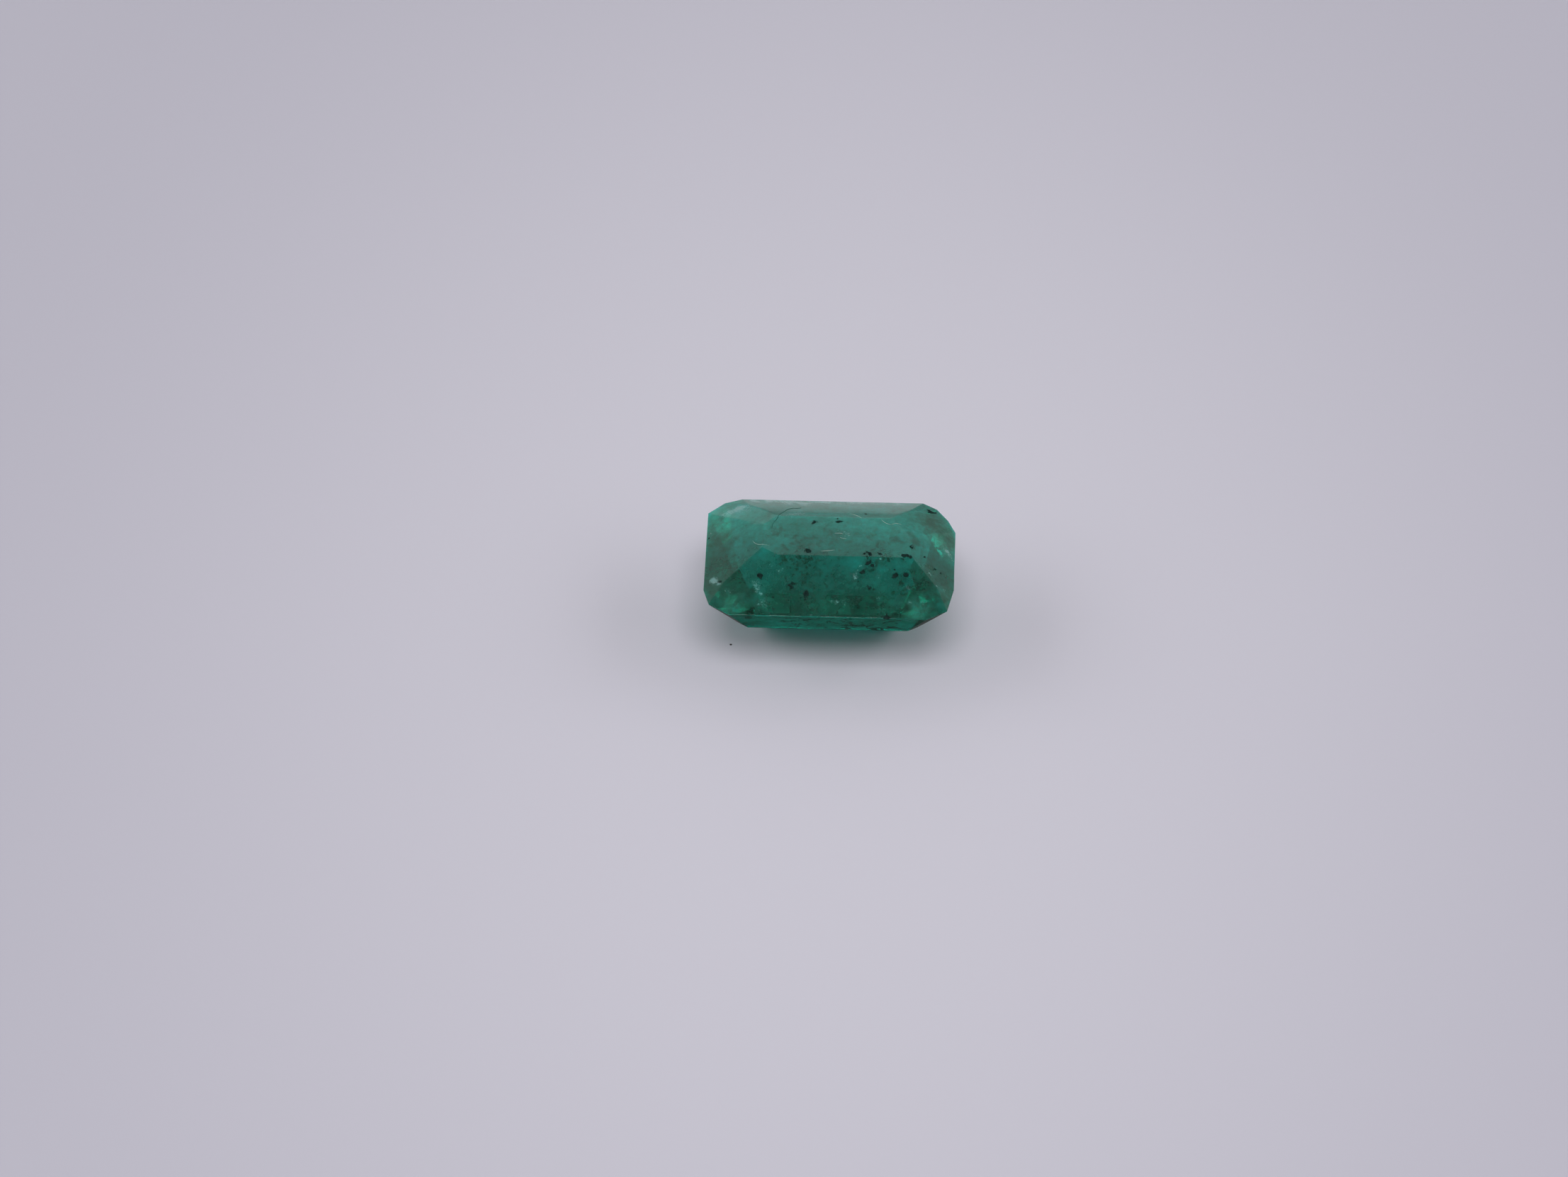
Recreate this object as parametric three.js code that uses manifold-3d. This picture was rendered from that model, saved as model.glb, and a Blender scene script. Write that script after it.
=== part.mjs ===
// A cut emerald in the step cut: an elongated octagon with cut corners, table facet up, standing
// on its flat culet. X runs along its length, Y from front to back and Z up, in millimetres. The
// origin is on the surface that the stone stands on, under the middle of its outline.

import * as THREE from "three";
import { mergeVertices } from "three/addons/utils/BufferGeometryUtils.js";
import Module from "manifold-3d";

const wasm = await Module();
wasm.setup();

// Heights above the surface that the stone stands on
const BREAK_HEIGHT = 1.75; // the edge between the lower and the upper pavilion facets
const GIRDLE_FOOT = 4.53;
const GIRDLE_TOP = 4.59;
const TABLE_HEIGHT = 6.27;

// How far the girdle reaches from the stone's upright axis on its four main sides
const HALF_LENGTH = 6.93;
const HALF_WIDTH = 4.83;

// The sides of the girdle, counterclockwise from the front. faces is the direction that a side
// looks in, in degrees from +X towards +Y, and reach is its distance from the axis. Three facets
// slope away from each side, at these angles to the horizontal: the crown facet above it, the
// upper pavilion facet below it and the lower pavilion facet, which ends at the culet. The stone
// was cut by hand: its front corners are nearly straight, its back left corner has two sides and
// its back right corner is a round of three.
const SIDES = {
  front: { faces: 270, reach: HALF_WIDTH, crown: 27.8, upper: 53.0, lower: 41.5 },
  frontRight: { faces: 302.5, reach: 7.0, crown: 26.4, upper: 50.2, lower: 38.5 },
  rightFront: { faces: 349, reach: 7.25, crown: 39.5, upper: 55.0, lower: 50.0 },
  right: { faces: 0, reach: HALF_LENGTH, crown: 34.6, upper: 57.0, lower: 55.5 },
  rightBack: { faces: 22.8, reach: 7.315, crown: 29.0, upper: 55.0, lower: 50.0 },
  backRight: { faces: 34.7, reach: 7.282, crown: 25.0, upper: 52.0, lower: 40.0 },
  backNearRight: { faces: 57.7, reach: 6.79, crown: 26.0, upper: 53.0, lower: 40.0 },
  back: { faces: 90, reach: HALF_WIDTH, crown: 27.6, upper: 53.0, lower: 41.5 },
  backNearLeft: { faces: 111.2, reach: 6.34, crown: 26.0, upper: 54.5, lower: 40.0 },
  backLeft: { faces: 135, reach: 7.42, crown: 22.0, upper: 51.0, lower: 40.0 },
  left: { faces: 180, reach: HALF_LENGTH, crown: 27.8, upper: 57.0, lower: 55.5 },
  leftFront: { faces: 196, reach: 7.44, crown: 28.5, upper: 55.0, lower: 50.0 },
  frontLeft: { faces: 234.5, reach: 7.08, crown: 22.4, upper: 51.0, lower: 38.5 },
};

const ROUGH_SIDE = 20; // length and width of the rough block, larger than the stone
const GRIND_DEPTH = 40; // edge of the block ground away for each facet, larger than the rough

// A solid from a closed geometry, whose shared corners are merged first
function solidOf(geometry) {
  geometry.deleteAttribute("normal");
  geometry.deleteAttribute("uv");
  const merged = mergeVertices(geometry, 1e-5);
  const vertProperties = new Float32Array(merged.attributes.position.array);
  const triVerts = new Uint32Array(merged.index.array);
  return new wasm.Manifold(new wasm.Mesh({ numProp: 3, vertProperties, triVerts }));
}

// A direction at faces degrees from +X towards +Y, tipped up by tip degrees
function directionOf(faces, tip) {
  const azimuth = THREE.MathUtils.degToRad(faces);
  const lift = THREE.MathUtils.degToRad(tip);
  return new THREE.Vector3(
    Math.cos(azimuth) * Math.cos(lift),
    Math.sin(azimuth) * Math.cos(lift),
    Math.sin(lift),
  );
}

// How far in a facet comes over a height, at slope degrees to the horizontal
function runOver(height, slope) {
  return height / Math.tan(THREE.MathUtils.degToRad(slope));
}

// The four facets of one side, each as its outward normal and a point on it
function facetsOf(side) {
  const level = directionOf(side.faces, 0);
  const breakReach = side.reach - runOver(GIRDLE_FOOT - BREAK_HEIGHT, side.upper);
  const onGirdleTop = level.clone().multiplyScalar(side.reach).setZ(GIRDLE_TOP);
  const onGirdleFoot = level.clone().multiplyScalar(side.reach).setZ(GIRDLE_FOOT);
  const onBreak = level.clone().multiplyScalar(breakReach).setZ(BREAK_HEIGHT);
  return [
    { normal: level, point: onGirdleTop },
    { normal: directionOf(side.faces, 90 - side.crown), point: onGirdleTop },
    { normal: directionOf(side.faces, side.upper - 90), point: onGirdleFoot },
    { normal: directionOf(side.faces, side.lower - 90), point: onBreak },
  ];
}

// Everything outside a facet's plane, as a block that touches the plane at the facet's point
function groundAway({ normal, point }) {
  const block = new THREE.BoxGeometry(GRIND_DEPTH, GRIND_DEPTH, GRIND_DEPTH);
  block.translate(0, 0, GRIND_DEPTH / 2);
  const turn = new THREE.Quaternion().setFromUnitVectors(new THREE.Vector3(0, 0, 1), normal);
  block.applyQuaternion(turn);
  block.translate(point.x, point.y, point.z);
  return solidOf(block);
}

// The rough, a block whose top is the table and whose foot is the culet, ground to every facet
function cutStone() {
  const rough = new THREE.BoxGeometry(ROUGH_SIDE, ROUGH_SIDE, TABLE_HEIGHT);
  rough.translate(0, 0, TABLE_HEIGHT / 2);
  let stone = solidOf(rough);
  for (const side of Object.values(SIDES)) {
    for (const facet of facetsOf(side)) {
      stone = stone.subtract(groundAway(facet));
    }
  }
  return stone;
}

// The geometry of a solid
function geometryOf(solid) {
  const { vertProperties, triVerts } = solid.getMesh();
  const geometry = new THREE.BufferGeometry();
  geometry.setAttribute("position", new THREE.BufferAttribute(vertProperties, 3));
  geometry.setIndex(new THREE.BufferAttribute(triVerts, 1));
  geometry.computeVertexNormals();
  return geometry;
}

const emerald = new THREE.MeshStandardMaterial({
  color: 0x1c6b57,
  roughness: 0.12,
  metalness: 0,
  flatShading: true,
});

const cutEmerald = new THREE.Mesh(geometryOf(cutStone()), emerald);
cutEmerald.name = "cut_emerald";

const part = new THREE.Group();
part.add(cutEmerald);

export default part;
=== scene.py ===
"""A cut emerald standing on its culet on a pale floor, in soft studio light.

The stone is one skin worked out on a grid. Each height has an outline, the polygon that the
thirteen sides of the stone leave at that height, and the rows of the grid are those outlines
from the culet up to the table. The edges are then worn round by a soft minimum of the distances
to all facets. Black flecks, pale veils, fine hairs and a dark crack lie in the skin or deeper
in the stone, as pieces of their own. Lengths are in millimetres where no comment says metres,
and become metres when a mesh is made.
"""

import math

import bmesh
import bpy
import numpy as np
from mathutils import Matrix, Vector


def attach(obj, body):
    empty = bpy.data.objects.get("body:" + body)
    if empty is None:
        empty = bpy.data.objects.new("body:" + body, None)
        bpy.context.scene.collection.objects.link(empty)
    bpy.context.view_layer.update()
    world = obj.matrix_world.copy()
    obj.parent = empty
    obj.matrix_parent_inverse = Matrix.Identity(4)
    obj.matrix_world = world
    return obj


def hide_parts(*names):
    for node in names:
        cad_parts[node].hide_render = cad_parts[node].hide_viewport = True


MM = 0.001  # one millimetre, in Blender's metres

# Heights above the floor
BREAK_HEIGHT = 1.75
GIRDLE_FOOT = 4.53
GIRDLE_TOP = 4.59
TABLE_HEIGHT = 6.27

# The stone's sides, counterclockwise from the front: the direction that a side looks in, its
# reach from the upright axis at the girdle, and the slopes of its crown facet, its upper
# pavilion facet and its lower pavilion facet, in degrees to the horizontal
SIDES = np.array(
    [
        (270.0, 4.83, 27.8, 53.0, 41.5),
        (302.5, 7.00, 26.4, 50.2, 38.5),
        (349.0, 7.25, 39.5, 55.0, 50.0),
        (360.0, 6.93, 34.6, 57.0, 55.5),
        (382.8, 7.315, 29.0, 55.0, 50.0),
        (394.7, 7.282, 25.0, 52.0, 40.0),
        (417.7, 6.79, 26.0, 53.0, 40.0),
        (450.0, 4.83, 27.6, 53.0, 41.5),
        (471.2, 6.34, 26.0, 54.5, 40.0),
        (495.0, 7.42, 22.0, 51.0, 40.0),
        (540.0, 6.93, 27.8, 57.0, 55.5),
        (556.0, 7.44, 28.5, 55.0, 50.0),
        (594.5, 7.08, 22.4, 51.0, 38.5),
    ]
)
FACES = np.radians(SIDES[:, 0])
REACH = SIDES[:, 1]
CROWN, UPPER, LOWER = np.radians(SIDES[:, 2:5].T)
OUT = np.stack([np.cos(FACES), np.sin(FACES)], axis=1)  # each side's level outward direction
ALONG = np.stack([-np.sin(FACES), np.cos(FACES)], axis=1)  # and its direction along the outline

# Black grains in the skin: place and radius
FLECKS = (
    (-0.95, 1.12, 6.27, 0.10),
    (0.51, 1.23, 6.27, 0.13),
    (-1.18, -1.26, 6.27, 0.13),
    (2.23, -1.43, 6.27, 0.13),
    (2.78, -1.36, 6.27, 0.09),
    (4.53, -0.74, 6.25, 0.10),
    (4.31, -1.46, 6.27, 0.15),
    (4.12, -1.52, 6.25, 0.09),
    (1.94, 2.24, 5.94, 0.07),
    (5.47, 3.81, 4.88, 0.16),
    (-1.22, -3.62, 5.23, 0.15),
    (-2.10, -3.23, 5.43, 0.12),
    (-2.00, -3.10, 5.50, 0.07),
    (-3.80, -2.74, 5.68, 0.13),
    (4.26, -2.55, 5.79, 0.10),
    (3.64, -2.63, 5.75, 0.13),
    (2.29, -3.28, 5.41, 0.10),
    (1.87, -2.44, 5.85, 0.10),
    (2.13, -1.96, 6.10, 0.10),
    (2.38, -2.10, 6.03, 0.09),
    (3.27, -4.79, 4.58, 0.14),
    (1.24, -4.60, 4.28, 0.09),
    (5.85, -1.50, 5.34, 0.06),
    (6.20, -1.58, 5.10, 0.05),
    (5.28, -0.95, 5.73, 0.05),
    (-6.00, -2.65, 5.08, 0.06),
    (-6.80, 1.42, 4.66, 0.07),
)

# Whitish crackle in the skin, where feathers reach it: place, radius and strength
FROST = (
    (-6.45, -2.25, 4.85, 0.17, 1.0),
    (-6.30, -2.50, 4.88, 0.15, 0.9),
    (-6.07, -2.82, 5.04, 0.10, 0.9),
    (-5.45, -3.40, 5.05, 0.09, 0.8),
    (-5.62, -3.30, 4.98, 0.09, 0.6),
    (-3.93, -3.49, 5.29, 0.14, 0.8),
    (-3.72, -3.71, 5.18, 0.08, 0.9),
    (-4.00, -3.15, 5.45, 0.20, 0.8),
    (-3.60, -4.20, 4.90, 0.30, 0.45),
    (-2.79, -2.50, 5.82, 0.06, 0.9),
    (-2.56, -2.39, 5.87, 0.05, 0.7),
    (-3.15, -2.18, 5.99, 0.13, 0.45),
    (1.56, -2.49, 5.83, 0.11, 0.8),
    (1.45, -2.75, 5.70, 0.13, 1.1),
    (1.75, -2.15, 6.00, 0.10, 0.5),
    (3.00, -2.23, 5.96, 0.15, 0.5),
    (2.75, -2.70, 5.70, 0.13, 0.4),
    (0.58, 0.10, 6.27, 0.24, 0.6),
    (0.95, 0.15, 6.27, 0.18, 0.4),
    (-2.00, 1.91, 6.12, 0.24, 0.7),
    (-1.60, 2.05, 6.02, 0.26, 0.6),
    (-2.50, 1.80, 6.18, 0.20, 0.4),
    (4.50, -3.97, 5.04, 0.11, 0.7),
    (4.35, -3.20, 5.45, 0.12, 0.6),
    (5.28, -3.92, 5.02, 0.16, 0.5),
    (0.95, -3.98, 5.03, 0.12, 0.6),
    (0.50, -4.05, 4.98, 0.12, 0.6),
    (0.20, -4.00, 5.02, 0.08, 0.4),
    (2.81, -3.82, 5.12, 0.09, 0.6),
    (6.48, 0.49, 4.90, 0.13, 1.0),
    (6.65, 0.25, 4.80, 0.13, 0.9),
    (6.80, 0.00, 4.70, 0.10, 0.7),
    (5.63, -2.15, 5.49, 0.06, 1.0),
    (5.55, -2.05, 5.55, 0.05, 0.9),
    (5.97, -2.78, 5.25, 0.05, 1.0),
    (6.35, -2.84, 4.98, 0.07, 0.7),
    (-6.70, 1.70, 4.70, 0.07, 1.0),
    (-0.91, -4.72, 4.63, 0.05, 0.9),
    (2.83, -1.74, 6.22, 0.05, 1.0),
    (-5.80, 3.10, 5.00, 0.35, 0.7),
    (-5.20, 3.40, 4.98, 0.35, 0.7),
    (-4.50, 3.20, 5.30, 0.45, 0.5),
    (-4.40, 4.60, 4.70, 0.40, 0.60),
    (-3.60, 4.55, 4.70, 0.45, 0.80),
    (-2.40, 4.35, 4.80, 0.50, 0.85),
    (-1.50, 4.20, 4.90, 0.55, 0.75),
    (-0.60, 4.50, 4.72, 0.45, 0.75),
    (0.50, 4.60, 4.68, 0.45, 0.75),
    (1.50, 4.60, 4.68, 0.45, 0.70),
    (2.60, 4.60, 4.68, 0.45, 0.65),
    (3.80, 4.50, 4.70, 0.40, 0.60),
    (4.60, 3.40, 5.20, 0.30, 0.40),
)

# Fine hairs on the crown and the table: both ends as XY, how far the arc between them bows out
# to the left as a share of its length, and radius
HAIRS = (
    (-4.30, -0.17, -3.32, -0.86, -0.20, 0.010),
    (-0.50, -1.25, 0.28, -1.14, -0.03, 0.013),
    (1.00, 2.25, 1.70, 1.55, 0.08, 0.011),
    (2.80, 1.50, 3.35, 1.08, -0.12, 0.010),
    (3.35, 1.08, 3.95, 1.22, 0.08, 0.010),
    (0.22, 0.24, 0.72, 0.20, 0.08, 0.011),
    (0.52, -0.06, 0.92, -0.16, -0.12, 0.010),
)

# The stretches of a dark crack that comes up at the back of the table, in the same form
CRACKS = (
    (-3.24, 0.50, -3.15, 1.10, 0.06, 0.014),
    (-3.18, 1.05, -2.92, 1.68, -0.08, 0.018),
    (-2.94, 1.60, -2.55, 2.45, 0.05, 0.020),
    (-2.60, 2.40, -2.10, 3.06, 0.10, 0.024),
    (-2.12, 3.00, -1.70, 3.10, -0.06, 0.018),
)

# Soft spots in the skin, where the beryl is paler, darker or cloudier, and painted shade at
# the back right corner: place, radius and strength
PALE_SPOTS = (
    (1.40, -2.00, 6.08, 0.35, 0.12),
    (3.00, -2.23, 5.96, 0.25, 0.14),
    (3.74, -2.18, 5.99, 0.22, 0.12),
    (-3.90, -3.20, 5.40, 0.30, 0.14),
    (-3.80, -3.90, 5.05, 0.35, 0.14),
    (-5.50, -3.40, 5.05, 0.18, 0.14),
    (-3.55, -1.05, 6.20, 0.28, 0.12),
    (-3.10, -2.20, 5.98, 0.18, 0.12),
    (-5.20, 2.90, 5.20, 0.65, 0.14),
    (2.81, -3.82, 5.12, 0.12, 0.12),
    (3.48, -3.99, 5.03, 0.12, 0.14),
    (4.50, -3.97, 5.04, 0.15, 0.12),
    (5.28, -3.92, 5.02, 0.18, 0.12),
    (4.90, -4.30, 4.85, 0.35, 0.05),
    (4.90, -0.90, 5.95, 0.45, 0.10),
    (3.60, 1.00, 6.27, 0.80, 0.07),
    (1.60, 0.90, 6.27, 0.70, 0.06),
    (-2.20, -3.50, 3.20, 0.90, 0.14),
    (5.90, -0.90, 5.30, 0.80, 0.10),
)
DARK_SPOTS_AND_SHADE = (
    (4.35, -4.25, 4.90, 0.16, 0.28),
    (4.05, -4.45, 4.80, 0.16, 0.22),
    (3.75, -4.65, 4.70, 0.12, 0.18),
    (-4.24, -4.57, 4.73, 0.13, 0.24),
    (4.22, -2.75, 5.70, 0.14, 0.24),
    (-2.80, -4.00, 5.00, 0.30, 0.10),
    (-2.30, -4.20, 4.95, 0.25, 0.10),
    (1.50, -4.40, 4.85, 0.26, 0.14),
    (-3.80, -3.50, 2.75, 0.30, 0.10),
    (1.60, -3.60, 2.60, 0.50, 0.10),
    (3.00, -3.70, 2.80, 0.40, 0.09),
    (-1.20, -1.90, 6.10, 0.22, 0.10),
    (-4.90, -2.00, 5.60, 0.35, 0.06),
    (3.20, -3.40, 5.35, 0.80, 0.05),
    (2.20, -2.00, 6.08, 0.25, 0.10),
    (-3.80, -2.70, 5.70, 0.22, 0.08),
    # Painted shade: the rows from here with x from 5.0 to 6.3 and y from 1.3 to 3.2 darken the
    # back right corner
    (5.60, 3.20, 5.00, 0.80, 0.18),
    (5.00, 2.40, 5.60, 0.80, 0.12),
    (-3.60, 2.20, 5.90, 0.90, 0.08),
    (6.10, 1.70, 5.05, 0.70, 0.20),
    (6.30, 1.30, 4.95, 0.50, 0.12),
    (4.90, -4.40, 4.75, 0.40, 0.03),
    (-6.20, -3.40, 4.30, 0.60, 0.06),
    (-6.30, -1.00, 4.95, 1.00, 0.08),
    (-6.50, 1.80, 4.85, 1.00, 0.22),
)
CLOUDY_SPOTS = (
    (6.35, 1.00, 4.95, 0.60, 0.30),
    (6.10, 1.80, 5.00, 0.80, 0.20),
    (4.95, -4.40, 4.75, 0.50, 0.30),
    (6.40, -3.00, 4.60, 0.50, 0.25),
    (-5.40, -4.10, 4.60, 0.60, 0.30),
    (-6.50, -2.90, 4.60, 0.50, 0.25),
    (-6.50, 1.80, 4.80, 1.00, 0.15),
)

SPECK = (-5.45, -2.25, 0.0)  # a speck of dust on the floor in front of the stone

# The photo's view of the stone
PHOTO_WIDTH = 2212
CAMERA_RISE = 42.0  # degrees above the floor
CAMERA_TURN = 2.0  # degrees to the right of straight in front
CAMERA_DISTANCE = 436.3
FOCAL_PIXELS = 11000.0  # the lens's focal length in the photo's pixels
SENSOR_WIDTH = 36.0
PICTURE_CENTRE = (-2.6, 1.08, 1.3)  # what the middle of the picture looks at
CLIP = (0.005, 20.0)  # the nearest and the farthest that is drawn, in metres

# Light
SURROUNDINGS = 0.46  # strength of the sky
OVERHEAD = 0.18  # the share of it that is left straight above
WALLS = 1.9  # how bright the walls at the left and right are
KEY_POWER = 2.86
KEY_RISE = 67.0  # degrees above the floor
KEY_TURN = 6.0  # degrees to the right of straight in front
KEY_DISTANCE = 0.8  # metres
KEY_WIDTH = 0.7 * KEY_DISTANCE
KEY_HEIGHT = 0.44 * KEY_DISTANCE
LIGHT_TINT = (1.0, 0.99, 1.02)
FLOOR_HALF = 1.0  # metres

# The skin's grid: the bands from the culet up, each from one height to another with its rows,
# and the rings inside the culet's and the table's edges
BANDS = (
    (0.0, BREAK_HEIGHT, 18),
    (BREAK_HEIGHT, GIRDLE_FOOT, 32),
    (GIRDLE_FOOT, GIRDLE_TOP, 4),
    (GIRDLE_TOP, TABLE_HEIGHT, 60),
)
CULET_RINGS = 8
TABLE_RINGS = 38
COLUMN_STEP = 0.08  # the mean distance between columns along the girdle
COLUMNS = (12, 112)  # the fewest and the most columns on one side
ROW_CROWDING = 2.1  # how much rows crowd towards the edges of a band
COLUMN_CROWDING = 1.8  # how much columns crowd towards the corners
RING_CROWDING = 1.6  # how much rings crowd towards the edge

# Wear
SHARPNESS = 160.0  # of the crown's edges, as one over the distance over which an edge is rounded
CRISPER = 1.5  # how much sharper the girdle and the pavilion are
RUBBED = 0.7  # how much less sharp the back of the table's edge is
WEAR_VARIES = 0.45  # the share by which the wear varies
WEAR_WAVES = 1.3  # over what distance
SUNK = 0.009  # how deep the skin lies under the facets' planes
UNEVEN = 0.004  # how much that varies
UNEVEN_WAVES = 2.4  # over what distance
SHALLOWEST, DEEPEST = 0.004, 0.016  # the least and the most of it
BACK_SIDE = 7  # the back's row in SIDES
BACK_SWELL = 0.06  # how far the middle of its crown facet stands out

# Inclusions
CLEARANCE = 0.001  # what stays between an inclusion and the facets' planes
CRUMBS = 4  # round each named fleck
CRUMB_SIZES = (0.15, 0.5)  # as shares of the fleck's radius
FLECK_SPREAD = 1.25  # how much wider than its named radius a fleck is drawn
FLECK_FLATNESS = 0.3
INNER_FLECKS = 70
INNER_FLECK_RADIUS, INNER_FLECK_GROWTH = 0.02, 0.06  # the smallest one, and the largest over it
FEATHERS = 70
FEATHER_SPREAD = (0.15, 0.55)  # of the smallest and the largest feather
FEATHER_FLATTENED = 0.93  # the share of its thickness that a feather loses
FLAKES = 26  # in each feather
FLAKE_RADIUS, FLAKE_GROWTH = 0.02, 0.11
SKIN_FLAKES = 5  # at each frosted place
SKIN_FLAKE_RADIUS, SKIN_FLAKE_GROWTH = 0.008, 0.022
FLAKE_FLATNESS = 0.16
SEARCH_BOX = ((-6.9, -4.8, 0.0), (6.9, 4.8, TABLE_HEIGHT))  # where random places are drawn
DRAWS = 6  # random places drawn for each one that is kept
LINE_STEPS = 24  # points along a hair or a stretch of the crack
LINE_SIDES = 6
LINE_DEPTH = 0.007  # how deep its middle lies under the skin
PEBBLE_BELTS = (45.0, 90.0, 135.0)  # degrees from a pebble's top
PEBBLE_SECTORS = 8

# Finishes. A noise is given by its cells per metre, its detail and its roughness.
CLOUDS = (800.0, 4.0, 0.6)
GRIT = (3600.0, 8.0, 0.75)
CRACKLE = (9000.0, 7.0, 0.8)
SCRATCHES = (2600.0, 5.0, 0.6)
BLOTCHES = (6000.0, 3.0, 0.55)
CLOUD_SWING = 0.56  # how much the clouds and the grit change the beryl's tone
GRIT_SWING = 0.60
TONE_OFFSET = 0.61  # taken off again, as each noise adds about half its swing
FROST_SWING = 0.29  # how much frost adds to the crackle
FROST_EDGE = (0.60, 0.84)  # where the crackle begins to show, and where it is whitest
WHITEST = 0.85
BERYL = (  # from the deepest tone to the palest
    (0.0, (0.032, 0.112, 0.080)),
    (0.25, (0.062, 0.245, 0.178)),
    (0.5, (0.070, 0.470, 0.378)),
    (0.75, (0.085, 0.700, 0.610)),
    (1.0, (0.240, 0.760, 0.730)),
)
FROSTED = (0.29, 0.56, 0.54)
LET_THROUGH = (0.0, 0.95, 0.92)  # the colour of light that has crossed the beryl
TAKEN_UP = 0.6  # how strongly it takes up the rest, per millimetre
SCATTER = (0.25, 1.0, 0.8)  # how far each colour is scattered in it, as shares of SCATTER_DEPTH
SCATTER_DEPTH = 1.2
BLACK_GRAIN = ((0.002, 0.014, 0.011), (0.008, 0.038, 0.031))
DARK_SEAM = ((0.006, 0.05, 0.04), (0.012, 0.09, 0.07))
PALE_FEATHER = ((0.10, 0.31, 0.27), (0.28, 0.50, 0.45))
PALE_HAIR = ((0.42, 0.58, 0.50), (0.58, 0.72, 0.64))
PAPER_WITH_FALLOFF = ((0.735, 0.720, 0.790), (0.620, 0.605, 0.680))  # by the stone, and far from it where a painted falloff of light darkens it
FALLOFF_DISTANCES = (10.0, 75.0)  # distances from the stone between which the painted falloff of light darkens the paper
DUST = (0.06, 0.05, 0.05)
SPECK_EDGE = (0.05, 0.09)  # where the speck begins to fade, and where it ends


# Curves and noise


def fade(x, low, high):
    """Smoothstep: 0 below low, 1 above high, and 3t^2 - 2t^3 between them."""
    t = np.clip((x - low) / (high - low), 0.0, 1.0)
    return t * t * (3.0 - 2.0 * t)


def crowded(count, hardness):
    """count + 1 fractions from 0 to 1 that crowd at both ends: a tanh of an even spread."""
    even = np.linspace(-1.0, 1.0, count + 1)
    return 0.5 + 0.5 * np.tanh(hardness * even) / math.tanh(hardness)


def ripple(points, wavelength, seed, waves=24):
    """Smooth noise near -1 to 1: sine waves in random directions, of 0.6 to 1.6 times the
    wavelength, added up and divided by the root of their number."""
    rng = np.random.default_rng(seed)
    ways = rng.normal(size=(waves, 3))
    ways /= np.linalg.norm(ways, axis=1)[:, None]
    turns = 2.0 * math.pi / (wavelength * rng.uniform(0.6, 1.6, waves))
    starts = rng.uniform(0.0, 2.0 * math.pi, waves)
    return np.sin(points @ (ways * turns[:, None]).T + starts).sum(axis=1) / math.sqrt(waves)


# Shape of the stone


def reaches_at(heights):
    """How far each side reaches from the axis at each height: the least of its crown facet, its
    girdle and its two pavilion facets there."""
    z = heights[:, None]
    crown = REACH - (z - GIRDLE_TOP) / np.tan(CROWN)
    upper = REACH - (GIRDLE_FOOT - z) / np.tan(UPPER)
    at_break = REACH - (GIRDLE_FOOT - BREAK_HEIGHT) / np.tan(UPPER)
    lower = at_break - (BREAK_HEIGHT - z) / np.tan(LOWER)
    return np.minimum(np.minimum(crown, REACH), np.minimum(upper, lower))


def outline_sides(heights):
    """The two ends of every side at every height. A side is the stretch of its line that lies
    inside all the other sides' lines. Where there is none, the side has run out and both its
    ends are at the end of the side before it."""
    reach = reaches_at(heights)
    across = OUT @ ALONG.T  # across[k, j]: how fast side j's line leaves through side k's
    between = OUT @ OUT.T
    room = reach[:, :, None] - reach[:, None, :] * between[None]
    with np.errstate(divide="ignore", invalid="ignore"):
        where = room / across[None]
    high = np.where(across > 1e-9, where, np.inf).min(axis=1)
    low = np.where(across < -1e-9, where, -np.inf).max(axis=1)
    start = reach[..., None] * OUT + low[..., None] * ALONG
    end = reach[..., None] * OUT + high[..., None] * ALONG
    left = high > low
    # Twice round, because a run of lost sides may cross the first one
    for j in [*range(len(SIDES)), *range(len(SIDES))]:
        gone = ~left[:, j]
        start[gone, j] = end[gone, j - 1]
        end[gone, j] = end[gone, j - 1]
    return start, end


def outlines(heights):
    """Points round every outline, crowded at the corners, as an array of rows, columns and XY."""
    start, end = outline_sides(heights)
    girdle_start, girdle_end = outline_sides(np.array([GIRDLE_TOP]))
    lengths = np.linalg.norm(girdle_end - girdle_start, axis=2)[0]
    counts = np.clip((lengths / COLUMN_STEP).astype(int), *COLUMNS)
    columns = []
    for j, count in enumerate(counts):
        share = crowded(count, COLUMN_CROWDING)[:-1, None]
        columns.append(start[:, j, None] + share * (end - start)[:, j, None])
    return np.concatenate(columns, axis=1)


def facet_planes():
    """Every facet's outward normal and its distance from the origin along that normal."""
    at_break = REACH - (GIRDLE_FOOT - BREAK_HEIGHT) / np.tan(UPPER)
    normals, distances = [np.array([(0, 0, 1.0), (0, 0, -1.0)])], [[TABLE_HEIGHT, 0.0]]
    for slope, reach, height, way in (
        (CROWN, REACH, GIRDLE_TOP, 1.0),
        (np.full_like(CROWN, math.pi / 2), REACH, GIRDLE_TOP, 1.0),
        (UPPER, REACH, GIRDLE_FOOT, -1.0),
        (LOWER, at_break, BREAK_HEIGHT, -1.0),
    ):
        level, rise = np.sin(slope), way * np.cos(slope)
        normals.append(np.column_stack([OUT * level[:, None], rise]))
        distances.append(reach * level + height * rise)
    return np.concatenate(normals), np.concatenate(distances)


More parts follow.
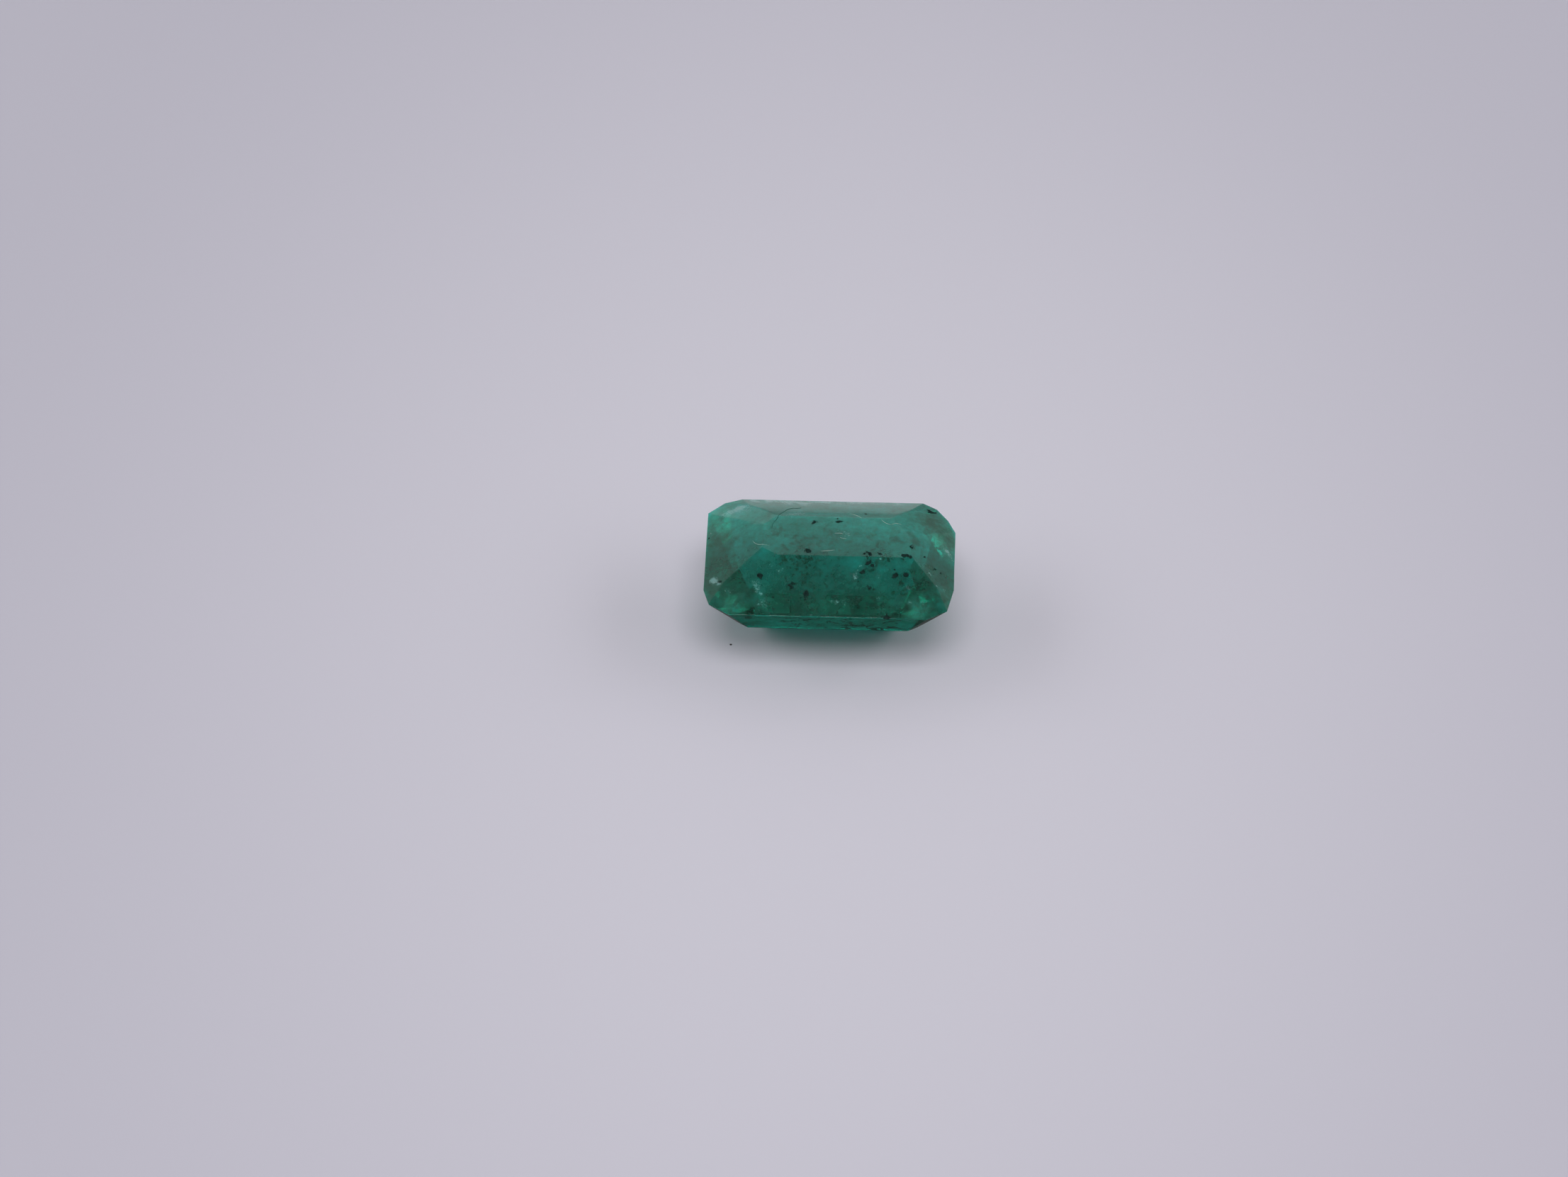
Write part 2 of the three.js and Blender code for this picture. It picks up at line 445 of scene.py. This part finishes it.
def worn(points, sharpness):
    """Points moved in by a soft minimum of their distances to all facets, so that edges wear
    round: ln of the sum of exp(-sharpness * distance), over sharpness, along the mean normal of
    the nearest facets. Returns that normal too."""
    normals, distances = facet_planes()
    nearness = np.exp(-sharpness[:, None] * np.maximum(distances - points @ normals.T, 0.0))
    total = nearness.sum(axis=1)
    outward = nearness @ normals
    outward /= np.linalg.norm(outward, axis=1)[:, None]
    wear = 1.0 + WEAR_VARIES * ripple(points, WEAR_WAVES, seed=4)
    depth = np.log(total) / sharpness * np.clip(wear, 0.3, 2.0)
    return points - outward * depth[:, None], outward


def stone_grid():
    """The skin's points as rows and columns: rings on the culet, the outlines from the culet up
    to the table with rows crowded at every edge, and rings on the table."""
    heights = [low + (high - low) * crowded(rows, ROW_CROWDING)[:-1] for low, high, rows in BANDS]
    heights = np.concatenate([*heights, [TABLE_HEIGHT]])
    walls = outlines(heights)
    rings = []
    for row, height, count in ((0, 0.0, CULET_RINGS), (-1, TABLE_HEIGHT, TABLE_RINGS)):
        edge = walls[row]
        middle = (edge.min(axis=0) + edge.max(axis=0)) / 2
        share = 1.0 - (1.0 - np.linspace(0.0, 1.0, count + 1)[:-1]) ** RING_CROWDING
        ring = middle + share[:, None, None] * (edge - middle)
        rings.append(np.dstack([ring, np.full(ring.shape[:2], height)]))
    walls = np.dstack([walls, np.repeat(heights[:, None], walls.shape[1], axis=1)])
    return np.concatenate([rings[0], walls, rings[1][::-1]])


def faces_mesh(name, points, *faces):
    """A mesh from points in millimetres and whole arrays of triangles or quads."""
    mesh = bpy.data.meshes.new(name)
    mesh.vertices.add(len(points))
    mesh.vertices.foreach_set("co", (points * MM).ravel())
    corners = np.concatenate([group.ravel() for group in faces])
    sizes = np.concatenate([np.full(len(group), group.shape[1]) for group in faces])
    mesh.loops.add(len(corners))
    mesh.loops.foreach_set("vertex_index", corners)
    mesh.polygons.add(len(sizes))
    mesh.polygons.foreach_set("loop_start", np.cumsum(sizes) - sizes)
    mesh.polygons.foreach_set("loop_total", sizes)
    mesh.update()
    return mesh


def grid_mesh(name, grid, **values):
    """A closed mesh from a grid of points whose columns run round, with the named values at
    every point. Points that lie together, as at the poles, are merged."""
    rows, columns = grid.shape[:2]
    at = np.arange(rows * columns).reshape(rows, columns)
    beside = np.roll(at, -1, axis=1)
    quads = np.stack([at[:-1], beside[:-1], beside[1:], at[1:]], axis=-1).reshape(-1, 4)
    mesh = faces_mesh(name, grid.reshape(-1, 3), quads)
    for kind, value in values.items():
        mesh.attributes.new(kind, "FLOAT", "POINT").data.foreach_set("value", value.ravel())
    whole = bmesh.new()
    whole.from_mesh(mesh)
    bmesh.ops.remove_doubles(whole, verts=whole.verts, dist=0.002 * MM)
    bmesh.ops.dissolve_degenerate(whole, edges=whole.edges, dist=0.001 * MM)
    bmesh.ops.recalc_face_normals(whole, faces=whole.faces)
    whole.to_mesh(mesh)
    whole.free()
    mesh.shade_smooth()
    return mesh


def add_piece(name, mesh, material):
    """A piece at the origin with its material, that rides on the one body."""
    piece = bpy.data.objects.new(name, mesh)
    bpy.context.scene.collection.objects.link(piece)
    mesh.materials.append(material)
    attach(piece, "root")
    return piece


def patches(points, places):
    """The sum of soft spots, each strength * exp(-distance^2 / (2 * radius^2)) from its place."""
    total = np.zeros(len(points))
    for x, y, z, radius, strength in places:
        away = ((points - (x, y, z)) ** 2).sum(axis=1)
        total += strength * np.exp(-away / (2.0 * radius**2))
    return total


def tone_and_painted_light(points):
    """How pale the beryl is at each point, with painted light and painted shade in it: it grows
    from the front to the back, which is painted light that brightens the back of the stone, a
    little under the girdle and much on the lower pavilion, and the named pale and dark spots are
    added, some of the dark ones being painted shade."""
    y, z = points[:, 1], points[:, 2]
    under_girdle = 1.0 - fade(z, 4.3, 4.6)
    lower_pavilion = 1.0 - fade(z, 1.2, 1.9)
    # Painted light: paler from the front to the back of the stone
    tone = 0.26 + 0.30 * fade(y, -4.2, 3.6)
    tone += 0.06 * under_girdle + 0.40 * lower_pavilion
    return tone + patches(points, PALE_SPOTS) - patches(points, DARK_SPOTS_AND_SHADE)


def stone_clearness(points):
    """The share of light that goes on into the stone: most through the lower pavilion, less
    through the crown, which is cloudier, least of all at its back, and less at the cloudy
    places."""
    y, z = points[:, 1], points[:, 2]
    crown = fade(z, 3.8, 4.6)
    lower_pavilion = 1.0 - fade(z, 1.4, 2.6)
    cloudy = 0.10 + 0.22 * fade(y, -1.5, 3.0)
    through = 0.86 - cloudy * crown + 0.12 * lower_pavilion
    return np.clip(through - patches(points, CLOUDY_SPOTS), 0.3, 0.98)


def swelled(points):
    """Points moved with the swell of the crown's back facet, which was ground a little round:
    along its normal by BACK_SWELL * 4 * t * (1 - t) at a share t of the crown's height, and less
    towards the corners."""
    share = np.clip((points[..., 2] - GIRDLE_TOP) / (TABLE_HEIGHT - GIRDLE_TOP), 0.0, 1.0)
    behind = fade(points[..., 1], 1.2, 2.4) * (1.0 - fade(np.abs(points[..., 0]), 2.5, 6.5))
    slope = CROWN[BACK_SIDE]
    normal = np.array([0.0, math.sin(slope), math.cos(slope)])
    return points + (BACK_SWELL * 4.0 * share * (1.0 - share) * behind)[..., None] * normal


def make_stone(material):
    """The polished skin: the grid with its edges worn round, most of all round the back of the
    table, and its facets faintly uneven."""
    grid = stone_grid()
    flat = grid.reshape(-1, 3)
    back_of_table = fade(flat[:, 1], -1.5, -0.3) * fade(flat[:, 2], 5.2, 5.7)
    crisp = 1.0 + CRISPER * (1.0 - fade(flat[:, 2], 4.7, 5.1))
    sharpness = SHARPNESS * crisp * (1.0 - RUBBED * back_of_table)
    points, outward = worn(flat, sharpness)
    rise = UNEVEN * ripple(points, UNEVEN_WAVES, seed=11) - SUNK
    points = swelled(points + outward * np.clip(rise, -DEEPEST, -SHALLOWEST)[:, None])
    ragged = np.clip(1.05 + 0.45 * ripple(points, 0.8, seed=12), 0.2, 1.6)
    mesh = grid_mesh(
        "emerald_skin",
        points.reshape(grid.shape),
        # The tone holds painted light and painted shade as well as the beryl's own paleness
        tone=tone_and_painted_light(points),
        clear=stone_clearness(points),
        frost=np.clip(patches(points, FROST) * ragged, 0.0, 1.2),
    )
    stone = add_piece("emerald_skin", mesh, material)
    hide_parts("cut_emerald")


# Inclusions


def onto_skin(points):
    """Each point moved along the normal of its nearest facet on to that facet."""
    normals, distances = facet_planes()
    gaps = distances - points @ normals.T
    nearest = gaps.argmin(axis=1)
    return points + normals[nearest] * gaps.min(axis=1)[:, None], normals[nearest]


def kept_inside(points, margin):
    """Points that stand out of the stone moved back along the facets' normals, until they are
    margin under every facet."""
    normals, distances = facet_planes()
    for _ in range(3):
        for normal, distance in zip(normals, distances):
            out = np.maximum(points @ normal - distance + margin, 0.0)
            points = points - out[..., None] * normal
    return points


def inside_places(rng, count, margin):
    """Random places inside the stone, at least margin under its skin."""
    normals, distances = facet_planes()
    places = rng.uniform(*SEARCH_BOX, size=(count * DRAWS, 3))
    depth = (distances - places @ normals.T).min(axis=1)
    return places[depth > margin][:count]


def crown_height(places):
    """The height of the crown or the table over each XY place."""
    over = GIRDLE_TOP + (REACH - places @ OUT.T) * np.tan(CROWN)
    return np.minimum(over.min(axis=1), TABLE_HEIGHT)


def unit(vectors):
    """Vectors brought to a length of one."""
    return vectors / np.linalg.norm(vectors, axis=1)[:, None]


def pebble_mesh(name, centres, radii, tilts, flatness, seed):
    """Closed lumps of 32 faces, one at each centre. A lump is a sphere whose radius is swollen
    by a few random waves, flattened along its tilt and drawn out a little across it. What would
    stand out of the stone is ground flush with its facets."""
    rng = np.random.default_rng(seed)
    count, sectors = len(centres), PEBBLE_SECTORS
    down = np.repeat(np.radians(PEBBLE_BELTS), sectors)
    round_ = np.tile(np.radians(np.arange(sectors) * 360.0 / sectors), len(PEBBLE_BELTS))
    level = np.sin(down)
    ball = np.column_stack([level * np.cos(round_), level * np.sin(round_), np.cos(down)])
    ball = np.concatenate([[(0.0, 0.0, 1.0)], ball, [(0.0, 0.0, -1.0)]])
    waves = rng.normal(size=(count, 4, 3)) * 1.8
    swell = np.sin(waves @ ball.T + rng.uniform(0, 2 * math.pi, (count, 4, 1))).sum(axis=1)
    shape = ball[None] * (1.0 + 0.2 * swell)[..., None]
    length, width = rng.uniform(0.9, 1.3, count), rng.uniform(0.65, 1.0, count)
    shape = shape * np.stack([length, width, flatness], axis=1)[:, None, :]
    tilts = unit(tilts)
    side = unit(np.cross(tilts, rng.normal(size=(count, 3))))
    turn = np.stack([side, np.cross(tilts, side), tilts], axis=1)
    lumps = centres[:, None] + radii[:, None, None] * (shape @ turn)
    points = swelled(kept_inside(lumps, CLEARANCE))
    first = np.arange(count)[:, None, None] * len(ball)
    here = 1 + np.arange(sectors)
    beside = np.roll(here, -1)
    last_belt = sectors * (len(PEBBLE_BELTS) - 1)
    top = np.stack([np.zeros(sectors, int), here, beside], axis=1)
    foot = np.full(sectors, len(ball) - 1)
    foot = np.stack([foot, beside + last_belt, here + last_belt], axis=1)
    belt = np.stack([here, here + sectors, beside + sectors, beside], axis=1)
    triangles = (first + np.concatenate([top, foot])[None]).reshape(-1, 3)
    quads = (first + np.concatenate([belt, belt + sectors])[None]).reshape(-1, 4)
    mesh = faces_mesh(name, points.reshape(-1, 3), triangles, quads)
    mesh.shade_smooth()
    return mesh


def add_flecks(material):
    """Black grains: the named ones lie in the skin, each with crumbs round it, and a few dozen
    more are inside the stone."""
    rng = np.random.default_rng(5)
    marks = np.array(FLECKS)
    crumbs = np.repeat(marks, CRUMBS, axis=0)
    crumbs[:, :3] += rng.normal(size=(len(crumbs), 3)) * crumbs[:, 3:4] * 1.1
    crumbs[:, 3] *= rng.uniform(*CRUMB_SIZES, len(crumbs))
    marks = np.concatenate([marks, crumbs])
    centres, normals = onto_skin(marks[:, :3])
    radii = marks[:, 3] * FLECK_SPREAD
    centres = centres - normals * (radii * 0.07)[:, None]
    inner = inside_places(rng, INNER_FLECKS, margin=0.12)
    centres = np.concatenate([centres, inner])
    inner_radii = INNER_FLECK_RADIUS + INNER_FLECK_GROWTH * rng.random(len(inner)) ** 2
    radii = np.concatenate([radii, inner_radii])
    tilts = np.concatenate([normals, rng.normal(size=inner.shape)])
    inner_flatness = rng.uniform(0.4, 0.9, len(inner))
    flatness = np.concatenate([np.full(len(marks), FLECK_FLATNESS), inner_flatness])
    mesh = pebble_mesh("black_flecks", centres, radii, tilts, flatness, seed=6)
    add_piece("black_flecks", mesh, material)


def feather_flakes(rng):
    """The places, tilts and radii of the flakes inside the stone. A feather's flakes lie round
    its place in a flat, ragged cloud, and those too near the skin are left out."""
    feathers = inside_places(rng, FEATHERS, margin=0.3)
    tilts = unit(np.repeat(rng.normal(size=feathers.shape), FLAKES, axis=0))
    spread = rng.normal(size=(len(feathers), FLAKES, 3))
    spread *= rng.uniform(*FEATHER_SPREAD, len(feathers))[:, None, None]
    spread = spread.reshape(-1, 3)
    spread -= FEATHER_FLATTENED * tilts * (spread * tilts).sum(axis=1)[:, None]
    centres = np.repeat(feathers, FLAKES, axis=0) + spread
    radii = FLAKE_RADIUS + FLAKE_GROWTH * rng.random(len(centres)) ** 2
    normals, distances = facet_planes()
    depth = (distances - centres @ normals.T).min(axis=1)
    keep = depth > radii * 1.5 + 0.03
    return centres[keep], tilts[keep], radii[keep]


def skin_flakes(rng):
    """The places, tilts and radii of the tiny flakes in the skin where it is frosted."""
    marks = np.repeat(np.array(FROST), SKIN_FLAKES, axis=0)
    near = marks[:, :3] + rng.normal(size=(len(marks), 3)) * marks[:, 3:4] * 0.7
    on_skin, out = onto_skin(near)
    radii = SKIN_FLAKE_RADIUS + SKIN_FLAKE_GROWTH * marks[:, 4] * rng.random(len(marks)) ** 2
    tilts = out + 0.15 * rng.normal(size=out.shape)
    return on_skin - out * 0.1 * radii[:, None], tilts, radii


def add_veils(material):
    """Pale feathers: healed cracks of many thin flakes inside the stone, and a few flakes in the
    skin."""
    rng = np.random.default_rng(8)
    flakes = zip(feather_flakes(rng), skin_flakes(rng))
    centres, tilts, radii = (np.concatenate(values) for values in flakes)
    flatness = np.full(len(centres), FLAKE_FLATNESS)
    mesh = pebble_mesh("pale_veils", centres, radii, tilts, flatness, seed=9)
    add_piece("pale_veils", mesh, material)


def line_points(x0, y0, x1, y1, bow, radius):
    """The points of one fine line: a tube round an arc in the skin between two places, which
    bows out by 4 * bow * t * (1 - t) of its length at a share t of it. The tube thins to nothing
    at both ends, is half sunk in the skin and is ground flush with the facets."""
    share = np.linspace(0.0, 1.0, LINE_STEPS)[:, None]
    round_ = np.radians(np.arange(LINE_SIDES) * 360.0 / LINE_SIDES)[None, :, None]
    start, end = np.array([x0, y0]), np.array([x1, y1])
    along = end - start
    aside = np.array([-along[1], along[0]])
    line = start + share * along + 4.0 * bow * share * (1.0 - share) * aside
    path, out = onto_skin(np.column_stack([line, crown_height(line)]))
    path -= out * LINE_DEPTH
    across = np.cross(unit(np.gradient(path, axis=0)), out)
    thick = radius * np.sin(math.pi * np.clip(share, 0.002, 0.998)) ** 0.6
    ring = np.cos(round_) * across[:, None] + np.sin(round_) * out[:, None]
    tube = (path[:, None] + thick[..., None] * ring).reshape(-1, 3)
    return swelled(kept_inside(tube, CLEARANCE))


def add_lines(name, arcs, material):
    """Fine lines in the skin, each a tube of its own with closed ends."""
    points = [line_points(*arc) for arc in arcs]
    at = np.arange(len(arcs) * LINE_STEPS * LINE_SIDES).reshape(-1, LINE_STEPS, LINE_SIDES)
    beside = np.roll(at, -1, axis=2)
    quads = np.stack([at[:, :-1], beside[:, :-1], beside[:, 1:], at[:, 1:]], axis=-1)
    mesh = faces_mesh(name, np.concatenate(points), quads.reshape(-1, 4))
    whole = bmesh.new()
    whole.from_mesh(mesh)
    bmesh.ops.holes_fill(whole, edges=whole.edges, sides=LINE_SIDES)
    bmesh.ops.recalc_face_normals(whole, faces=whole.faces)
    whole.to_mesh(mesh)
    whole.free()
    mesh.shade_smooth()
    add_piece(name, mesh, material)


# Nodes


def new_material(name):
    """An empty node material with its Principled shader."""
    material = bpy.data.materials.new(name)
    material.use_nodes = True
    nodes = material.node_tree.nodes
    return material, nodes, material.node_tree.links, nodes["Principled BSDF"]


def add_noise(nodes, links, source, scale, detail, roughness):
    """A fractal noise over source, with scale in cells per metre."""
    noise = nodes.new("ShaderNodeTexNoise")
    noise.inputs["Scale"].default_value = scale
    noise.inputs["Detail"].default_value = detail
    noise.inputs["Roughness"].default_value = roughness
    links.new(source, noise.inputs["Vector"])
    return noise.outputs["Fac"]


def add_ramp(nodes, links, source, stops):
    """A colour ramp over source with stops of place and RGB."""
    ramp = nodes.new("ShaderNodeValToRGB")
    while len(ramp.color_ramp.elements) < len(stops):
        ramp.color_ramp.elements.new(0.5)
    for element, (place, colour) in zip(ramp.color_ramp.elements, stops):
        element.position = place
        element.color = (*colour, 1.0)
    links.new(source, ramp.inputs["Fac"])
    return ramp.outputs["Color"]


def smooth_step_node(nodes, links, source, start, end, low, high):
    """A value that goes smoothly from low to high while source goes from start to end."""
    step = nodes.new("ShaderNodeMapRange")
    step.interpolation_type = "SMOOTHSTEP"
    step.inputs["From Min"].default_value = start
    step.inputs["From Max"].default_value = end
    step.inputs["To Min"].default_value = low
    step.inputs["To Max"].default_value = high
    links.new(source, step.inputs["Value"])
    return step.outputs["Result"]


def skin_value(nodes, name):
    """The value of that name at each point of a mesh."""
    value = nodes.new("ShaderNodeAttribute")
    value.attribute_name = name
    return value.outputs["Fac"]


def fill_socket(links, socket, value):
    """A node's output linked to a socket, or a number or a colour set on it."""
    if isinstance(value, bpy.types.NodeSocket):
        links.new(value, socket)
    else:
        socket.default_value = value


def math_node(nodes, links, operation, *terms):
    """The result of an operation on terms, each a number or a node's output."""
    result = nodes.new("ShaderNodeMath")
    result.operation = operation
    for socket, term in zip(result.inputs, terms):
        fill_socket(links, socket, term)
    return result.outputs["Value"]


def product_node(nodes, links, *factors):
    """The product of two or more values."""
    product = factors[0]
    for factor in factors[1:]:
        product = math_node(nodes, links, "MULTIPLY", product, factor)
    return product


def mix_node(nodes, links, share, first, second):
    """A colour that goes from first to second while share goes from 0 to 1."""
    mix = nodes.new("ShaderNodeMix")
    mix.data_type = "RGBA"
    for socket, value in (("Factor", share), ("A", first), ("B", second)):
        fill_socket(links, mix.inputs[socket], value)
    return mix.outputs["Result"]


# Materials


def emerald_material():
    """Cloudy green beryl: clear glass that takes up red light, with some light scattered back by
    fine inclusions. Its green goes from deep to pale with the skin's tone, which also holds
    painted light and painted shade, with drifting clouds and grit, and where it is frosted it is
    whitish and less clear."""
    material, nodes, links, shader = new_material("cloudy emerald")
    place = nodes.new("ShaderNodeTexCoord").outputs["Object"]
    # The tone brings painted light and painted shade into the green
    tone = skin_value(nodes, "tone")
    for noise, swing in ((CLOUDS, CLOUD_SWING), (GRIT, GRIT_SWING)):
        drift = add_noise(nodes, links, place, *noise)
        tone = math_node(nodes, links, "MULTIPLY_ADD", drift, swing, tone)
    tone = math_node(nodes, links, "SUBTRACT", tone, TONE_OFFSET)
    green = add_ramp(nodes, links, tone, BERYL)
    crackle = add_noise(nodes, links, place, *CRACKLE)
    frost = skin_value(nodes, "frost")
    crackle = math_node(nodes, links, "MULTIPLY_ADD", frost, FROST_SWING, crackle)
    white = smooth_step_node(nodes, links, crackle, *FROST_EDGE, 0.0, WHITEST)
    colour = mix_node(nodes, links, white, green, (*FROSTED, 1.0))
    links.new(colour, shader.inputs["Base Color"])
    left = smooth_step_node(nodes, links, white, 0.0, 1.0, 1.0, 0.4)
    clear = product_node(nodes, links, skin_value(nodes, "clear"), left)
    links.new(clear, shader.inputs["Transmission Weight"])
    bump = nodes.new("ShaderNodeBump")
    bump.inputs["Strength"].default_value = 0.05
    bump.inputs["Distance"].default_value = 0.02 * MM
    links.new(add_noise(nodes, links, place, *SCRATCHES), bump.inputs["Height"])
    links.new(bump.outputs["Normal"], shader.inputs["Normal"])
    shader.inputs["Roughness"].default_value = 0.06
    shader.inputs["IOR"].default_value = 1.577
    shader.inputs["Subsurface Weight"].default_value = 1.0
    shader.inputs["Subsurface Radius"].default_value = SCATTER
    shader.inputs["Subsurface Scale"].default_value = SCATTER_DEPTH * MM
    absorb = nodes.new("ShaderNodeVolumeAbsorption")
    absorb.inputs["Color"].default_value = (*LET_THROUGH, 1.0)
    absorb.inputs["Density"].default_value = TAKEN_UP / MM
    links.new(absorb.outputs["Volume"], nodes["Material Output"].inputs["Volume"])
    return material


def grain_material(name, colours, roughness):
    """A dull mineral grain between a dark and a light colour, uneven at the size of its lumps."""
    material, nodes, links, shader = new_material(name)
    place = nodes.new("ShaderNodeTexCoord").outputs["Object"]
    blotches = add_noise(nodes, links, place, *BLOTCHES)
    tone = add_ramp(nodes, links, blotches, [(0.35, colours[0]), (0.65, colours[1])])
    links.new(tone, shader.inputs["Base Color"])
    shader.inputs["Roughness"].default_value = roughness
    shader.inputs["Specular IOR Level"].default_value = 0.1
    return material


def distance_node(nodes, links, place, centre):
    """The distance of a place from a centre that is given in millimetres."""
    away = nodes.new("ShaderNodeVectorMath")
    away.operation = "DISTANCE"
    away.inputs[1].default_value = [value * MM for value in centre]
    links.new(place, away.inputs[0])
    return away.outputs["Value"]


def floor_material():
    """Matt pale lavender paper under a painted falloff of light, which darkens it slowly away
    from the stone, more sideways than forwards and back, with a speck of dust."""
    material, nodes, links, shader = new_material("pale paper")
    place = nodes.new("ShaderNodeTexCoord").outputs["Object"]
    squashed = nodes.new("ShaderNodeVectorMath")
    squashed.operation = "MULTIPLY"
    squashed.inputs[1].default_value = (1.35, 0.8, 1.0)
    links.new(place, squashed.inputs[0])
    away = distance_node(nodes, links, squashed.outputs["Vector"], (0.0, 0.0, 0.0))
    # Painted falloff of light: the paper goes darker away from the stone
    start, end = FALLOFF_DISTANCES
    far = smooth_step_node(nodes, links, away, start * MM, end * MM, 0.0, 1.0)
    paper = add_ramp(nodes, links, far, [(0.0, PAPER_WITH_FALLOFF[0]), (1.0, PAPER_WITH_FALLOFF[1])])
    from_speck = distance_node(nodes, links, place, SPECK)
    start, end = SPECK_EDGE
    past_speck = smooth_step_node(nodes, links, from_speck, start * MM, end * MM, 0.0, 1.0)
    colour = mix_node(nodes, links, past_speck, (*DUST, 1.0), paper)
    links.new(colour, shader.inputs["Base Color"])
    shader.inputs["Roughness"].default_value = 0.9
    shader.inputs["Specular IOR Level"].default_value = 0.1
    return material


# Studio


def add_floor():
    """A wide level sheet that the stone stands on."""
    half = FLOOR_HALF
    corners = [(-half, -half, 0), (half, -half, 0), (half, half, 0), (-half, half, 0)]
    mesh = bpy.data.meshes.new("floor")
    mesh.from_pydata(corners, [], [(0, 1, 2, 3)])
    floor = bpy.data.objects.new("floor", mesh)
    bpy.context.scene.collection.objects.link(floor)
    mesh.materials.append(floor_material())
    floor.visible_glossy = False


def light_the_sky():
    """Soft light from all round: even behind the stone but for a dark strip along the horizon
    and a dim corner at the right, dimmer in front, dark above and straight below, with bright
    walls at the left and right. The numbers are parts of a unit direction."""
    world = bpy.data.worlds.new("soft surroundings")
    bpy.context.scene.world = world
    world.use_nodes = True
    nodes, links = world.node_tree.nodes, world.node_tree.links
    split = nodes.new("ShaderNodeSeparateXYZ")
    links.new(nodes.new("ShaderNodeTexCoord").outputs["Generated"], split.inputs["Vector"])
    right, back, height = split.outputs["X"], split.outputs["Y"], split.outputs["Z"]
    sideways = math_node(nodes, links, "ABSOLUTE", right)

    def step(source, start, end, low, high):
        return smooth_step_node(nodes, links, source, start, end, low, high)

    def product(*factors):
        return product_node(nodes, links, *factors)

    overhead = step(height, 0.74, 0.88, SURROUNDINGS, OVERHEAD * SURROUNDINGS)
    behind = step(back, 0.8, 0.9, 0.0, 1.0)
    below = step(height, -0.88, 0.0, 0.05, 1.0)
    lower = math_node(nodes, links, "MAXIMUM", below, behind)
    forward = step(back, -0.4, 0.2, 0.08, 1.0)
    strip = product(step(height, -0.32, -0.10, 0.0, 0.5), step(height, -0.04, 0.10, 1.0, 0.0))
    horizon = step(strip, 0.0, 1.0, 1.0, 0.0)
    aside = step(sideways, 0.35, 0.6, 1.0, 0.74)
    dim = product(step(right, 0.0, 0.2, 0.0, 0.5), behind, step(height, 0.2, 0.4, 1.0, 0.0))
    corner = step(dim, 0.0, 1.0, 1.0, 0.0)
    even = product(overhead, lower, forward, horizon, aside, corner)
    walls = product(
        step(sideways, 0.66, 0.78, 0.0, WALLS),
        step(height, 0.20, 0.38, 0.0, 1.0),  # from their foot up
        step(height, 0.68, 0.8, 1.0, 0.0),  # to their top
        step(back, 0.4, 0.56, 1.0, 0.0),  # and to where they end behind the stone
    )
    background = nodes["Background"]
    background.inputs["Color"].default_value = (*LIGHT_TINT, 1.0)
    links.new(math_node(nodes, links, "ADD", even, walls), background.inputs["Strength"])


def direction(rise, turn):
    """The way to a place in front of the stone, rise degrees up and turn degrees to the right."""
    rise, turn = math.radians(rise), math.radians(turn)
    return Vector(
        (math.sin(turn) * math.cos(rise), -math.cos(turn) * math.cos(rise), math.sin(rise))
    )


def add_key_light():
    """A soft box in front of the stone, above the camera and a little to its right."""
    way = direction(KEY_RISE, KEY_TURN)
    data = bpy.data.lights.new("soft box", "AREA")
    data.shape = "RECTANGLE"
    data.size = KEY_WIDTH
    data.size_y = KEY_HEIGHT
    data.energy = KEY_POWER
    data.color = LIGHT_TINT
    lamp = bpy.data.objects.new("soft box", data)
    lamp.location = way * KEY_DISTANCE
    lamp.rotation_euler = (-way).to_track_quat("-Z", "Y").to_euler()
    lamp.visible_camera = False
    bpy.context.scene.collection.objects.link(lamp)


def add_camera():
    """The photo's camera, far off with a long lens, at its height and turn round the stone."""
    way = direction(CAMERA_RISE, CAMERA_TURN)
    data = bpy.data.cameras.new("camera")
    data.sensor_fit = "HORIZONTAL"
    data.sensor_width = SENSOR_WIDTH
    data.lens = SENSOR_WIDTH * FOCAL_PIXELS / PHOTO_WIDTH
    data.clip_start, data.clip_end = CLIP
    camera = bpy.data.objects.new("camera", data)
    camera.location = (Vector(PICTURE_CENTRE) + way * CAMERA_DISTANCE) * MM
    camera.rotation_euler = (-way).to_track_quat("-Z", "Y").to_euler()
    bpy.context.scene.collection.objects.link(camera)
    bpy.context.scene.camera = camera


def set_colours():
    """Plain sRGB colours, and enough bounces for light that crosses the stone."""
    scene = bpy.context.scene
    scene.view_settings.view_transform = "Standard"
    scene.cycles.max_bounces = 24
    scene.cycles.transmission_bounces = 20
    scene.cycles.diffuse_bounces = 6
    scene.cycles.glossy_bounces = 12
    scene.cycles.volume_bounces = 4


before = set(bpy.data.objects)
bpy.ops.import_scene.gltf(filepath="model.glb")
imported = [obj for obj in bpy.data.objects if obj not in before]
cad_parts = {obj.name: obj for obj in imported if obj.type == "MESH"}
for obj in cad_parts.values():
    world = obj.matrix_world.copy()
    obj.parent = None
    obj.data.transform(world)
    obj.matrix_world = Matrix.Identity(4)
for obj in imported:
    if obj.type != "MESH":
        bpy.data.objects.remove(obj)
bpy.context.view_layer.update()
add_camera()
set_colours()
light_the_sky()
add_key_light()
add_floor()
make_stone(emerald_material())
add_flecks(grain_material("black grain", BLACK_GRAIN, 0.6))
add_lines("dark_cracks", CRACKS, grain_material("dark seam", DARK_SEAM, 0.6))
add_veils(grain_material("pale feather", PALE_FEATHER, 0.45))
add_lines("pale_hairs", HAIRS, grain_material("pale hair", PALE_HAIR, 0.45))
